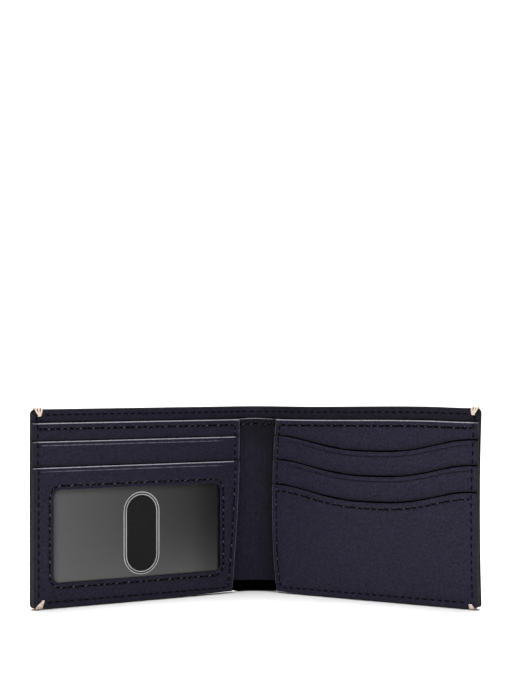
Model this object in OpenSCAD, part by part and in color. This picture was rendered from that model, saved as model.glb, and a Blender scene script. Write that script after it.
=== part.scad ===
// Bifold leather wallet standing open on its long edge.
// Frame: +Z up, the inside faces -Y, origin at the foot of the spine midway
// between the two fold axes, on the middle of the exterior leather.
// Each cover is drawn flat in its own plane: u runs outward from its fold axis,
// v runs from the outside of the wallet toward its inside, z is up.

/* [Wallet] */
// Height of the wallet, from its resting edge to its top edge
height = 89; // [80:0.5:100]
// Length of each cover, from its fold axis to its free edge
cover_len = 108.3; // [98:0.1:120]
// Width of the spine between the two fold axes
spine_w = 12; // [11:0.5:16]
// Angle that each cover is swung inward from lying flat
rest_fold = 29; // [0:1:60]
// Radius of the outer corners
corner_r = 2.2; // [1:0.1:4]

/* [Layers] */
// Thickness of the exterior leather
leather_t = 1; // [0.8:0.05:1.2]
// Thickness of the stiffener board in each cover
board_t = 0.3; // [0.2:0.05:0.4]
// Thickness of the lining of the bill compartment
lining_t = 0.2; // [0.1:0.05:0.3]
// Thickness of the turned edge, the hem
hem_t = 0.6; // [0.4:0.05:0.8]
// Width of the hem on the top, bottom and outer edges
hem_w = 8; // [6:0.5:10]
// Thickness of the interior leather pieces
panel_t = 0.6; // [0.45:0.05:0.7]
// Thickness of the stacked card pockets under the front one
pocket_t = 0.5; // [0.4:0.05:0.6]
// Thickness of the clear film
film_t = 0.15; // [0.1:0.05:0.2]

/* [Interior] */
// Height of the top edge of the bill divider
divider_top = 82.8; // [78:0.1:86]
// Height of the bottom edge of the divider where it crosses the spine
divider_foot = 5.3; // [3:0.1:9]
// Height of the left card pocket's edge
left_slot_z = 74.5; // [68:0.5:79]
// Height of the top edge of the identity card frame
frame_top = 62.9; // [58:0.1:66]
// Height of the right pockets' edges beside the spine, back to front
right_slot_z = [74.6, 63.2, 51.4]; // [40:0.1:80]
// Depth of the dip in each right pocket's edge
slot_dip = 6.5; // [0:0.1:9]

/* [Identity window] */
// Opening of the frame: first and last u
window_u = [14.9, 98.4]; // [10:0.1:102]
// Opening of the frame: bottom and top z
window_z = [11, 52.8]; // [6:0.1:60]
// Radius of the opening's corners
window_r = 3.5; // [1:0.5:6]
// Width and height of the thumb slot through the film
slot_hole = [14.7, 35]; // [8:0.1:40]
// Width of the welded rim around the thumb slot
rim_w = 1.65; // [1:0.05:3]

/* [Stitching] */
// Distance from one stitch to the next
stitch_pitch = 3.9; // [3:0.1:5]
// Length of one stitch
stitch_len = 2.5; // [1.5:0.1:3.5]
// Width of the thread
thread_w = 0.5; // [0.3:0.05:0.8]
// Height of the thread above the leather
thread_t = 0.2; // [0.1:0.05:0.3]

/* [Hidden] */
$fn = 48;
fold_x = spine_w / 2;
bead_r = 0.6;          // round bead on each end of the spine leather
groove_r = 0.75;       // matching groove in the cover leather
fold_clear = 2.6;      // the inner layers of a cover start this far out
strip_x = fold_x - 0.6; // half width of the spine's inner layers
v_skin = -leather_t / 2;
v_board = leather_t / 2;
v_lining = v_board + board_t;
v_hem = v_lining + lining_t;
v_back = v_hem + hem_t;
v_divider = v_back + lining_t;
v_panel = v_divider + panel_t;
v_pocket = v_panel + panel_t;
v_id_back = v_pocket + panel_t;
v_ring = v_id_back + film_t;
v_film = v_ring + 0.05;
v_frame = v_ring + 0.2;
v_front = v_pocket + 2 * pocket_t;
edge_in = 0.9;         // interior pieces stop this far inside the outer edge
foot_z = 0.6;          // and this far above the resting edge
tack_t = 0.45;
tack_notch = 0.5;
out_u = cover_len - edge_in;
leather = [0.15, 0.14, 0.19];
inner_leather = [0.17, 0.16, 0.21];
cloth = [0.07, 0.07, 0.09];
thread = [0.09, 0.09, 0.13];
tack_thread = [0.89, 0.80, 0.74];

// A flat piece between two depths, drawn in the plane of its cover
module layer(v0, v1)
  rotate([90, 0, 0]) translate([0, 0, v0]) linear_extrude(v1 - v0) children();

module on_right() translate([fold_x, 0, 0]) rotate([0, 0, -rest_fold]) children();
module on_left() mirror([1, 0, 0]) on_right() children();

// Points of an arc, for rounded corners
function arc(c, r, a0, a1, n = 6) =
  [for (i = [0:n]) let (a = a0 + (a1 - a0) * i / n) c + r * [cos(a), sin(a)]];

function rounded(u, z, r) = concat(
  arc([u[0] + r, z[0] + r], r, 180, 270), arc([u[1] - r, z[0] + r], r, 270, 360),
  arc([u[1] - r, z[1] - r], r, 0, 90), arc([u[0] + r, z[1] - r], r, 90, 180));

function oval(w, h, grow = 0) = let (r = w / 2 + grow, d = h / 2 - w / 2)
  concat(arc([0, d], r, 0, 180, 16), arc([0, -d], r, 180, 360, 16));

// The spine-side edge of the interior pieces leans, and bows a little
function left_edge(z) = 3.2 + 5.2 * pow(max(0, 1 - z / height), 1.9);
function right_edge(z) = 4.1 + 2.2 * pow(abs(z - 0.517 * height) / (0.461 * height), 3);
function side_edge(z, left) = left ? left_edge(z) : right_edge(z);

// Height of a dipped pocket edge at u: a shallow trough, deepest past the middle
dip_u = 0.54 * cover_len;
function dip(u, z_edge) =
  let (reach = (u < dip_u ? 0.477 : 0.435) * cover_len, a = min(1, abs(u - dip_u) / reach))
  z_edge - slot_dip * pow(cos(90 * pow(a, 1.35)), 2);

// A cover's outline with its two outer corners rounded
module cover_outline(r = corner_r)
  polygon(concat([[0, height], [0, 0]],
    arc([cover_len - r, r], r, 270, 360), arc([cover_len - r, height - r], r, 0, 90)));

// An interior piece: leaning spine side, rounded outer foot, flat or dipped top
module panel_outline(z_top, left, waved = false) {
  steps = 14;
  u_in = side_edge(z_top, left);
  r = 1.5;
  side = [for (i = [0:steps])
    let (z = z_top + (foot_z - z_top) * i / steps) [side_edge(z, left), z]];
  top = !waved ? [[out_u, z_top]] :
    [for (i = [0:39]) let (u = out_u + (u_in - out_u) * i / 40) [u, dip(u, z_top)]];
  polygon(concat(side, arc([out_u - r, foot_z + r], r, 270, 360), top));
}

// The exterior leather of a cover: skin, outer edge wall and turned hem
module cover_leather(notch_u) {
  difference() {
    layer(v_skin, v_back) cover_outline();
    layer(v_board, v_back + 1) translate([-5, -1]) square([5 + fold_clear, height + 2]);
    layer(v_board, v_hem) translate([0, leather_t])
      square([cover_len - leather_t, height - 2 * leather_t]);
    layer(v_hem, v_back + 1) translate([0, hem_w])
      square([cover_len - hem_w, height - 2 * hem_w]);
    layer(v_skin - 1, v_back + 1) translate([notch_u[0], -1])
      square([notch_u[1] - notch_u[0], 1 + tack_notch]);
    translate([0, 0, -1]) cylinder(r = groove_r, h = height + 2);
  }
}

// A flat sheet tucked under the hem of a cover
module tucked(v0, v1, gap)
  layer(v0, v1) translate([fold_clear, leather_t + gap])
    square([cover_len - leather_t - gap - fold_clear, height - 2 * (leather_t + gap)]);

module cover_divider(v0, v1, left, z_top)
  layer(v0, v1) polygon(concat(
    [[fold_clear, z_top], [fold_clear, divider_foot],
     [side_edge(divider_foot, left) + 1, divider_foot],
     [side_edge(foot_z, left) + 3, foot_z]],
    arc([out_u - 1.5, foot_z + 1.5], 1.5, 270, 360), [[out_u, z_top]]));

// One stitch lying on the surface v, and straight rows of them
module stitch(u, z, a, v)
  layer(v, v + thread_t) translate([u, z]) rotate(a)
    square([stitch_len, thread_w], center = true);

module row_along(u0, u1, z, v) {
  n = floor((u1 - u0) / stitch_pitch);
  step = (u1 - u0) / n;
  for (i = [0:n - 1]) stitch(u0 + (i + 0.5) * step, z, 0, v);
}

module row_up(u, z0, z1, v) {
  n = max(1, floor((z1 - z0) / stitch_pitch));
  step = (z1 - z0) / n;
  for (i = [0:n - 1]) stitch(u, z0 + (i + 0.5) * step, 90, v);
}

// A row that follows the leaning edge of a panel, set in from it
module row_beside_edge(z0, z1, inset, v, left) {
  n = max(1, floor((z1 - z0) / stitch_pitch));
  step = (z1 - z0) / n;
  for (i = [0:n - 1]) {
    z = z0 + (i + 0.5) * step;
    lean = atan2(step, side_edge(z + step / 2, left) - side_edge(z - step / 2, left));
    stitch(side_edge(z, left) + inset, z, lean, v);
  }
}

// A whip-stitched bar tack: three strands fan from a hole to the edge on both
// faces, joined over the edge by a flat bridge
module tack(hole, span, v_face, top) {
  z_edge = top ? height : 0;
  z_out = top ? height + tack_t : 0;
  z_in = top ? height : tack_notch;
  strand = (span[1] - span[0]) / 3;
  for (face = [[v_face, v_face + tack_t], [v_skin - tack_t, v_skin]])
    layer(face[0], face[1]) for (k = [0:2])
      polygon([[hole[0] - 0.5, hole[1]], [hole[0] + 0.5, hole[1]],
        [span[0] + (k + 0.9) * strand, z_out], [span[0] + (k + 0.1) * strand, z_out]]);
  layer(v_skin - tack_t, v_face + tack_t) translate([span[0], min(z_in, z_out)])
    square([span[1] - span[0], abs(z_out - z_in)]);
}

module exterior_spine() color(leather) {
  layer(v_skin, v_board) translate([-fold_x, 0]) square([spine_w, height]);
  for (x = [-fold_x, fold_x]) translate([x, 0, 0]) cylinder(r = bead_r, h = height);
  for (z = [0, height - hem_w]) layer(v_hem, v_back) translate([-strip_x, z])
    square([2 * strip_x, hem_w]);
  for (z = [0, height - leather_t]) layer(0, v_back) translate([-strip_x, z])
    square([2 * strip_x, leather_t]);
}

module exterior_left() color(leather) on_left() cover_leather([103, 105.8]);
module exterior_right() color(leather) on_right() cover_leather([103.6, 106.4]);
module stiffener_left() color([0.45, 0.43, 0.4]) on_left() tucked(v_board, v_lining, 0.3);
module stiffener_right() color([0.45, 0.43, 0.4]) on_right() tucked(v_board, v_lining, 0.3);

module exterior_lining_spine() color(cloth)
  layer(v_board, v_lining) translate([-strip_x, leather_t + 0.3])
    square([2 * strip_x, height - 2 * (leather_t + 0.3)]);
module exterior_lining_left() color(cloth) on_left() tucked(v_lining, v_hem, 0.3);
module exterior_lining_right() color(cloth) on_right() tucked(v_lining, v_hem, 0.3);

// Where it crosses the spine the divider's top edge arches by half a millimetre
module spine_strip(v0, v1, drop = 0) layer(v0, v1)
  polygon(concat([[-strip_x, divider_foot + drop], [strip_x, divider_foot + drop]],
    [for (i = [0:8]) let (x = strip_x * (1 - i / 4))
      [x, divider_top - drop + 0.5 * cos(90 * x / strip_x)]]));
module divider_spine() color(inner_leather) spine_strip(v_divider, v_panel);
module divider_lining_spine() color(cloth) spine_strip(v_back, v_divider, 0.4);
module divider_left() color(inner_leather) on_left()
  cover_divider(v_divider, v_panel, true, divider_top);
module divider_right() color(inner_leather) on_right()
  cover_divider(v_divider, v_panel, false, divider_top);
module divider_lining_left() color(cloth) on_left()
  cover_divider(v_back, v_divider, true, divider_top - 0.4);
module divider_lining_right() color(cloth) on_right()
  cover_divider(v_back, v_divider, false, divider_top - 0.4);

module panel_left() color(inner_leather) on_left()
  layer(v_panel, v_pocket) panel_outline(divider_top, true);
module card_pocket_left() color(inner_leather) on_left()
  layer(v_pocket, v_id_back) panel_outline(left_slot_z, true);
module id_pocket_back() color(cloth) on_left()
  layer(v_id_back, v_ring) panel_outline(frame_top - 0.8, true);

// The clear film lies in a cloth ring, under the leather frame
film_u = [window_u[0] - 3, window_u[1] + 3];
film_z = [window_z[0] - 3, window_z[1] + 3];
window_c = [(window_u[0] + window_u[1]) / 2 - 1.1, (window_z[0] + window_z[1]) / 2 - 0.5];
module id_window_lining() color(cloth) on_left() layer(v_ring, v_frame) difference() {
  panel_outline(frame_top - 0.4, true);
  polygon(rounded(film_u, film_z, window_r));
}
module id_window_film() color([0.55, 0.56, 0.58, 0.35]) on_left()
  layer(v_film, v_frame) difference() {
    polygon(rounded(film_u, film_z, window_r));
    translate(window_c) polygon(oval(slot_hole[0], slot_hole[1]));
  }
module id_thumb_rim() color([0.5, 0.51, 0.53, 0.5]) on_left() layer(v_frame, v_frame + 0.2)
  translate(window_c) difference() {
    polygon(oval(slot_hole[0], slot_hole[1], rim_w));
    polygon(oval(slot_hole[0], slot_hole[1]));
  }
module id_window_frame() color(inner_leather) on_left()
  layer(v_frame, v_frame + panel_t) difference() {
    panel_outline(frame_top, true);
    polygon(rounded(window_u, window_z, window_r));
  }

module panel_right() color(inner_leather) on_right()
  layer(v_panel, v_pocket) panel_outline(divider_top, false);
module card_pocket_upper() color(inner_leather) on_right()
  layer(v_pocket, v_pocket + pocket_t) panel_outline(right_slot_z[0], false, true);
module card_pocket_middle() color(inner_leather) on_right()
  layer(v_pocket + pocket_t, v_front) panel_outline(right_slot_z[1], false, true);
module card_pocket_front() color(inner_leather) on_right()
  layer(v_front, v_front + panel_t) panel_outline(right_slot_z[2], false, true);

module corner_tack_top_left() color(tack_thread) on_left()
  tack([104.2, 85.1], [102.9, 105.7], v_back, true);
module corner_tack_bottom_left() color(tack_thread) on_left()
  tack([102.8, 3.9], [103, 105.8], v_frame + panel_t, false);
module corner_tack_top_right() color(tack_thread) on_right()
  tack([105, 85.4], [103.7, 106.5], v_back, true);
module corner_tack_bottom_right() color(tack_thread) on_right()
  tack([104, 3.9], [103.6, 106.4], v_front + panel_t, false);

hem_row = height - 2.6;
foot_row = 3;
divider_row = divider_top - 2.7;
side_row = cover_len - 2.8;
spine_row_x = 1.3 * stitch_pitch;

module thread_hem_left() color(thread) on_left()
  row_along(fold_clear + 0.5, 101.5, hem_row, v_back);
module thread_hem_right() color(thread) on_right()
  row_along(fold_clear + 0.5, 102.5, hem_row, v_back);
module thread_hem_spine() color(thread)
  for (z = [foot_row, hem_row]) row_along(-spine_row_x, spine_row_x, z, v_back);

module thread_divider_left() color(thread) on_left()
  row_along(left_edge(divider_row) + 1, side_row - 1, divider_row, v_pocket);
module thread_divider_right() color(thread) on_right()
  row_along(right_edge(divider_row) + 1, side_row - 1, divider_row, v_pocket);
module thread_divider_spine() color(thread)
  row_along(-spine_row_x, spine_row_x, divider_row, v_panel);

// The side seam steps down layer by layer toward the top
module thread_perimeter_left() color(thread) on_left() {
  row_along(11, 101, foot_row, v_frame + panel_t);
  row_up(side_row, 5, frame_top, v_frame + panel_t);
  row_up(side_row, frame_top + 0.5, left_slot_z, v_id_back);
  row_up(side_row, left_slot_z + 0.5, divider_row, v_pocket);
}
module thread_perimeter_right() color(thread) on_right() {
  row_along(11, 102, foot_row, v_front + panel_t);
  row_up(side_row, 5, right_slot_z[2] - 0.4, v_front + panel_t);
  row_up(side_row, right_slot_z[2] + 0.5, right_slot_z[1] - 0.4, v_front);
  row_up(side_row, right_slot_z[1] + 0.5, right_slot_z[0] - 0.4, v_pocket + pocket_t);
}

edge_row = 2.5;
module thread_panel_edge_left() color(thread) on_left() {
  row_beside_edge(4, frame_top, edge_row, v_frame + panel_t, true);
  row_beside_edge(frame_top + 0.5, left_slot_z, edge_row, v_id_back, true);
  row_beside_edge(left_slot_z + 0.5, divider_row, edge_row, v_pocket, true);
}
module thread_panel_edge_right() color(thread) on_right() {
  row_beside_edge(4, right_slot_z[2] - 0.4, edge_row, v_front + panel_t, false);
  row_beside_edge(right_slot_z[2] + 0.5, right_slot_z[1] - 0.4, edge_row, v_front, false);
  row_beside_edge(right_slot_z[1] + 0.5, right_slot_z[0] - 0.4, edge_row,
    v_pocket + pocket_t, false);
  row_beside_edge(right_slot_z[0] + 0.5, divider_row, edge_row, v_pocket, false);
}

// Stitching set back from the window on the frame, and below the front pocket's edge
module thread_window() color(thread) on_left() {
  v = v_frame + panel_t;
  for (z = [window_z[0] - 2, window_z[1] + 1.8]) row_along(window_u[0], window_u[1], z, v);
  for (u = [window_u[0] - 1.8, window_u[1] + 1.8]) row_up(u, window_z[0], window_z[1], v);
}
module thread_front_pocket() color(thread) on_right() {
  u0 = right_edge(right_slot_z[2]) + edge_row + 1.5;
  u1 = side_row - 1.5;
  n = floor((u1 - u0) / stitch_pitch);
  step = (u1 - u0) / n;
  for (i = [0:n - 1]) {
    u = u0 + (i + 0.5) * step;
    z = dip(u, right_slot_z[2]);
    rise = atan2(dip(u + 1, right_slot_z[2]) - dip(u - 1, right_slot_z[2]), 2);
    stitch(u, z - 2.65, rise, v_front + panel_t);
  }
}

// The outside seam shows on the back of each cover and across the spine
module outer_seam(u_end) {
  for (z = [foot_row, hem_row]) row_along(2, u_end, z, v_skin - thread_t);
  row_up(side_row, 5, hem_row - 1.5, v_skin - thread_t);
}
module thread_outer_left() color(thread) on_left() outer_seam(101.5);
module thread_outer_right() color(thread) on_right() outer_seam(102.5);
module thread_outer_spine() color(thread)
  for (z = [foot_row, hem_row]) row_along(-spine_row_x, spine_row_x, z, v_skin - thread_t);

exterior_spine();
exterior_left();
exterior_right();
stiffener_left();
stiffener_right();
exterior_lining_spine();
exterior_lining_left();
exterior_lining_right();
divider_spine();
divider_left();
divider_right();
divider_lining_spine();
divider_lining_left();
divider_lining_right();
panel_left();
card_pocket_left();
id_pocket_back();
id_window_lining();
id_window_film();
id_thumb_rim();
id_window_frame();
panel_right();
card_pocket_upper();
card_pocket_middle();
card_pocket_front();
corner_tack_top_left();
corner_tack_bottom_left();
corner_tack_top_right();
corner_tack_bottom_right();
thread_hem_left();
thread_hem_spine();
thread_hem_right();
thread_divider_left();
thread_divider_spine();
thread_divider_right();
thread_perimeter_left();
thread_perimeter_right();
thread_panel_edge_left();
thread_panel_edge_right();
thread_window();
thread_front_pocket();
thread_outer_left();
thread_outer_spine();
thread_outer_right();
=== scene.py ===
import bpy
import math
import numpy as np
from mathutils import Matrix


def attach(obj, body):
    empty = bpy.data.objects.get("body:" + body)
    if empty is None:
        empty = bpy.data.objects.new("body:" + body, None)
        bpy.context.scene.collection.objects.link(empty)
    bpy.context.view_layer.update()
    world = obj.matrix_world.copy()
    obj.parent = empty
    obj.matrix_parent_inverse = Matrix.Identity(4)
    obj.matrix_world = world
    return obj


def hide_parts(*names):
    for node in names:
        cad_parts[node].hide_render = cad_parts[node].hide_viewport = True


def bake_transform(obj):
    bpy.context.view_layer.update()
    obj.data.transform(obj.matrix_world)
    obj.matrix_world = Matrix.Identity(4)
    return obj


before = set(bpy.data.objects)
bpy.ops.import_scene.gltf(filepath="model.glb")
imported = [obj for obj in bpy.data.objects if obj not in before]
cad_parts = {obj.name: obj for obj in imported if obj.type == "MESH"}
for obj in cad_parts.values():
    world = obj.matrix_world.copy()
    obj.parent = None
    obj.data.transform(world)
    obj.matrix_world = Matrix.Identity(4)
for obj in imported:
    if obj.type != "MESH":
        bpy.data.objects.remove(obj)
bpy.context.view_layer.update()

# ---------------------------------------------------------------- dimensions
# Millimetres. Each cover is drawn as a flat pattern: s runs outward from the
# middle of the spine along the exterior leather, v from the outside of the
# wallet toward its inside, z up. place() bends the pattern into the row frame.
MM = 0.001
FOLD = math.radians(29)
FOLD_X = 6.0
ARC_R = 27.5
HEIGHT = 89.0
COVER = 108.3
RIGHT, LEFT = 1, -1

TIP_Y = FOLD_X * math.tan(FOLD) - ARC_R * (1 / math.cos(FOLD) - 1)
S_ARC = ARC_R * FOLD
U_TO_S = S_ARC - (ARC_R * math.sin(FOLD) - FOLD_X) / math.cos(FOLD)
S_END = COVER + U_TO_S

# Depths of the layers
V_SKIN, V_INSIDE, V_BOARD, V_LINING, V_HEM = -0.5, 0.5, 0.8, 1.0, 1.6
V_DIV, V_PANEL, V_POCKET = 1.8, 2.4, 3.0
V_IDBACK, V_RING, V_FILM, V_FRAME, V_FACE_L = 3.6, 3.75, 3.95, 3.95, 4.55
V_MID, V_FRONT, V_FACE_R = 3.5, 4.0, 4.6

DIV_TOP, DIV_FOOT = 82.8, 5.3
SLOT_L, FRAME_TOP = 74.5, 62.9
SLOTS_R = (74.6, 63.2, 51.4)
DIP = 6.5
FOOT = 0.3
MOUTH_R = 0.85  # how far the dipped pockets' mouths stand off
S_OUT = S_END - 0.2
HEM_ROW, FOOT_ROW, DIV_ROW = 86.4, 3.0, 80.1
SIDE_ROW = S_END - 2.8
EDGE_ROW = 2.5
PITCH, SLANTED_PITCH = 3.45, {LEFT: 2.95, RIGHT: 3.3}
SLANT = 22  # degrees that the slanted stitches lean from their row
CHANNEL = 0.33  # half the width of the channel of painted shade they lie in
POCKET_ROW, WINDOW_ROW = 2.65, 1.85  # rows under the front pocket's edge, round the window
NOTCH = 0.95  # height of the notch that a bar tack fills in the resting edge
WINDOW_S, WINDOW_Z, WINDOW_R = (14.9 + U_TO_S, 98.4 + U_TO_S), (11.0, 52.8), 3.5
HOLE = (14.7, 35.0)
HOLE_C = (55.5 + U_TO_S, 31.4)
# Lattice lines: offsets from a piece's edges, and from the edge of a pocket in front
NEAR = (0, .08, .2, .36, .6, .9, 1.2, 1.5, 1.75, 2, 2.2, 2.4, 2.6, 2.8, 3, 3.3, 3.7, 4.2, 5)
FEW = (0, .1, .25)
CUT_BELOW, CUT_ABOVE = (0, .5, 1.5), (0, .25, .5, .75, 1.1, 1.6, 2.3)


def left_edge(z):
    """Spine-side edge of the left pieces: it leans away from the spine downward."""
    return 3.2 + U_TO_S + 5.2 * np.clip(1 - z / HEIGHT, 0, 1) ** 1.9


def right_edge(z):
    """Spine-side edge of the right pieces, curled toward the spine at both ends."""
    return 4.1 + U_TO_S + 2.2 * np.abs((z - 46) / 41) ** 3


def dip(s, z_edge):
    """Height of a dipped pocket edge: a shallow trough, deepest just past the middle."""
    u = s - U_TO_S - 58.5
    a = np.clip(np.abs(u) / np.where(u < 0, 51.5, 47.0), 0, 1)
    return z_edge - DIP * np.cos(math.pi / 2 * a ** 1.35) ** 2


def smooth(x, a, b):
    """0 below a, 1 above b and eased between them."""
    t = np.clip((x - a) / (b - a), 0, 1)
    return t * t * (3 - 2 * t)


def over_spine(s):
    """1 on the middle of the spine, fading out over the fold."""
    return np.exp(-(s / 9) ** 2)


def waviness(side, s, z):
    """The gentle unevenness of a used cover, the same for all its layers."""
    a = 0.16 * np.sin(s / 19 + 0.6 * side) * np.sin(z / 23 + 0.4)
    return (a + 0.07 * np.sin(s / 8.3 + z / 13 + side)) * smooth(s, 16, 40)


def place(side, s, v, z):
    """Pattern coordinates in millimetres to points of the row frame in metres."""
    s, v, z = np.broadcast_arrays(*(np.asarray(a, float) for a in (s, v, z)))
    if side == RIGHT:
        bow = 0.8 * (1 - ((z - HEIGHT / 2) / (HEIGHT / 2)) ** 2)
        s = s - bow * np.clip((s - 60) / (S_END - 60), 0, 1)
        z = z + (0.88 * smooth(s, 20, 84) - 0.35 * smooth(s, 86, 108)) * z / HEIGHT
    v = v + waviness(side, s, z)
    phi = np.clip(s, 0, S_ARC) / ARC_R
    far = np.clip(s - S_ARC, 0, None)
    x = ARC_R * np.sin(phi) + far * math.cos(FOLD) - v * np.sin(phi)
    y = TIP_Y - ARC_R * (1 - np.cos(phi)) - far * math.sin(FOLD) - v * np.cos(phi)
    return np.stack([side * x, y, z], -1).reshape(-1, 3) * MM


# ------------------------------------------------------------------ materials
HIGHLIGHT_COLOUR = (0.185, 0.18, 0.225)  # painted highlight colour, added where the tone is 2, the brightest


def material(name, color, rough, spec, mottle=0.2, mottle_mm=1.2, grain=0.0, grain_mm=0.5,
             crease=0.0, weave=False, coat=0.0, coat_rough=0.2, alpha=1.0, vary_by=0.07):
    """A procedural surface: colour mottling, roughness variation and a bump of its grain.
    The mesh's tone attribute holds painted light: below 1 it darkens the colour as painted
    shade in creases, stitch dents and crevices, above 1 it adds a painted highlight."""
    m = bpy.data.materials.new(name)
    m.use_nodes = True
    n, link = m.node_tree.nodes, m.node_tree.links.new

    def join(node, *inputs):
        """Link or set each of a node's inputs, given as (name, source or value)."""
        for key, value in inputs:
            if isinstance(value, bpy.types.NodeSocket):
                link(value, node.inputs[key])
            else:
                node.inputs[key].default_value = value
        return node

    def add(kind, *inputs, operation=None):
        node = n.new("ShaderNode" + kind)
        if operation:
            node.operation = operation
        return join(node, *inputs)

    coords = add("TexCoord").outputs["Object"]

    def noise(size_mm, detail, distortion=0.0):
        return add("TexNoise", ("Scale", 1000 / size_mm), ("Detail", detail),
                   ("Distortion", distortion), ("Vector", coords))

    cloud = noise(mottle_mm, 5).outputs["Fac"]
    ramp = add("ValToRGB", ("Fac", cloud))
    for k, (at, gain) in enumerate(((0.28, 1 - mottle), (0.72, 1 + mottle))):
        ramp.color_ramp.elements[k].position = at
        ramp.color_ramp.elements[k].color = (*(c * gain for c in color), 1)
    # painted light: the tone darkens the colour below 1 as painted shade and adds the painted
    # highlight colour above 1
    painted_light = add("Attribute")
    painted_light.attribute_name = "painted_light"
    under, over = (add("Math", (0, painted_light.outputs["Fac"]), (1, 1.0), operation=operation)
                   for operation in ("MINIMUM", "SUBTRACT"))
    under.use_clamp = over.use_clamp = True
    painted_highlights = add("VectorMath", (0, HIGHLIGHT_COLOUR), ("Scale", over.outputs["Value"]), operation="SCALE")
    shaded_colour = add("VectorMath", (0, ramp.outputs["Color"]), (1, under.outputs["Value"]),
              (2, painted_highlights.outputs["Vector"]), operation="MULTIPLY_ADD")
    vary = add("MapRange", ("From Min", 0.3), ("From Max", 0.7), ("To Min", rough - vary_by),
               ("To Max", rough + vary_by), ("Value", cloud))
    bsdf = join(n["Principled BSDF"], ("Specular IOR Level", spec), ("Coat Weight", coat),
                ("Coat Roughness", coat_rough), ("Alpha", alpha),
                ("Base Color", shaded_colour.outputs["Vector"]), ("Roughness", vary.outputs["Result"]))
    bumps = []
    if grain and weave:
        waves = [add("TexWave", ("Scale", 1000 / (6.28 * grain_mm)), ("Distortion", 0.4),
                     ("Vector", coords)) for _ in range(2)]
        waves[0].bands_direction, waves[1].bands_direction = "X", "Z"
        cross = add("Math", *((k, w.outputs["Fac"]) for k, w in enumerate(waves)),
                    operation="MULTIPLY")
        bumps.append((cross.outputs["Value"], grain, grain_mm * 0.4))
    elif grain:
        warp = add("VectorMath", (0, noise(2 * grain_mm, 2).outputs["Color"]),
                   (1, (0.8 * grain_mm * MM,) * 3), (2, coords), operation="MULTIPLY_ADD")
        cell = add("TexVoronoi", ("Scale", 1000 / grain_mm), ("Vector", warp.outputs["Vector"]))
        cell.feature = "DISTANCE_TO_EDGE"
        bumps.append((cell.outputs["Distance"], grain, grain_mm * 0.35))
    if crease:
        bumps.append((noise(2.6, 6, 0.9).outputs["Fac"], crease, 0.9))
    below = bsdf
    for height, strength, distance in reversed(bumps):
        bump = add("Bump", ("Strength", strength), ("Distance", distance * MM),
                   ("Height", height))
        link(bump.outputs["Normal"], below.inputs["Normal"])
        below = bump
    return m


def leather(name, color, rough=0.46, spec=0.16, grain=1.0, crease=0.7, mottle=0.65):
    return material(name, color, rough, spec, mottle, 0.9, grain, 0.9, crease)


# One interior leather at painted brightnesses: the right pockets lighter as painted light, the
# divider darker as painted shade.
M_OUTER = leather("leather_exterior", (0.0096, 0.0082, 0.02))
M_INNER = leather("leather_interior", (0.0116, 0.0099, 0.0236))
M_SPINE_SHADED = leather("leather_divider_painted_shade", (0.0082, 0.007, 0.0187), 0.5, 0.13, crease=0.9)
M_RIGHT_LIT = leather("leather_pockets_painted_light", (0.015, 0.0129, 0.0292))
M_EDGE = leather("leather_edge_dyed", (0.0165, 0.0172, 0.0165), 0.5, 0.08, 0.3, 0.2, 0.3)
# Edge colour for the spine-side edges, lighter than the plain edge: a painted highlight.
M_EDGE_LIT = leather("leather_edge_turned_painted_highlight", (0.088, 0.084, 0.104), 0.4, 0.35, 0.3, 0.2, 0.5)
# Near black: painted shade in crevices, stitch channels, the window opening, the divider's foot
# and under the divider at the spine.
M_PAINTED_SHADE = leather("leather_painted_shade", (0.0011, 0.001, 0.0024), 0.8, 0.02, 0.3, 0.2, 0.2)
# Light edge colour given only to top edges: a burnished edge with a painted highlight of the light
# from above.
M_EDGE_HIGHLIGHT = leather("leather_edge_burnished_painted_highlight", (0.36, 0.345, 0.4), 0.3, 0.5, 0.2, 0.2, 0.2)
M_CLOTH = material("lining_cloth", (0.012, 0.012, 0.0125), 0.85, 0.1, 0.2, 1.0, 0.5, 0.35,
                   weave=True)
M_BOARD = material("stiffener_board", (0.42, 0.38, 0.33), 0.8, 0.3, 0.15, 1.2, 0.4, 0.25)
M_THREAD = material("thread_dark", (0.0014, 0.0013, 0.0034), 0.7, 0.04, 0.2, 0.8, 0.5, 0.22,
                    weave=True)
M_TACK = material("thread_tack", (0.8, 0.66, 0.57), 0.65, 0.25, 0.12, 0.6, 0.6, 0.2,
                  weave=True)
# The film's colour is set almost wholly by its tone, a gradient of painted light and shade.
M_FILM = material("clear_film", (0.98, 1.0, 0.97), 0.3, 0.07, 0.06, 0.8, alpha=0.95,
                  vary_by=0.01)
M_RIM = material("film_weld", (0.03, 0.03, 0.03), 0.18, 0.4, 0.1, 3.0, vary_by=0.02)
# Light grey on the weld's raised bead crests: a painted highlight.
M_BEAD_HIGHLIGHT = material("film_weld_bead_painted_highlight", (0.36, 0.36, 0.36), 0.16, 0.6, 0.1, 3.0, coat=0.5,
                  coat_rough=0.08, vary_by=0.02)


# -------------------------------------------------------------- mesh builders
def new_object(name, verts, faces, mats, face_mat=None, painted_light=None, sharp=35):
    me = bpy.data.meshes.new(name)
    me.from_pydata([tuple(p) for p in verts], [], faces)
    for m in mats:
        me.materials.append(m)
    if face_mat is not None:
        me.polygons.foreach_set("material_index", np.asarray(face_mat, np.int32))
    me.polygons.foreach_set("use_smooth", np.ones(len(faces), bool))
    values = np.ones(len(verts)) if painted_light is None else np.asarray(painted_light, float).ravel()
    me.attributes.new("painted_light", "FLOAT", "POINT").data.foreach_set("value", values)
    me.update()
    me.set_sharp_from_angle(angle=math.radians(sharp))
    ob = bpy.data.objects.new(name, me)
    bpy.context.scene.collection.objects.link(ob)
    return ob


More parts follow.
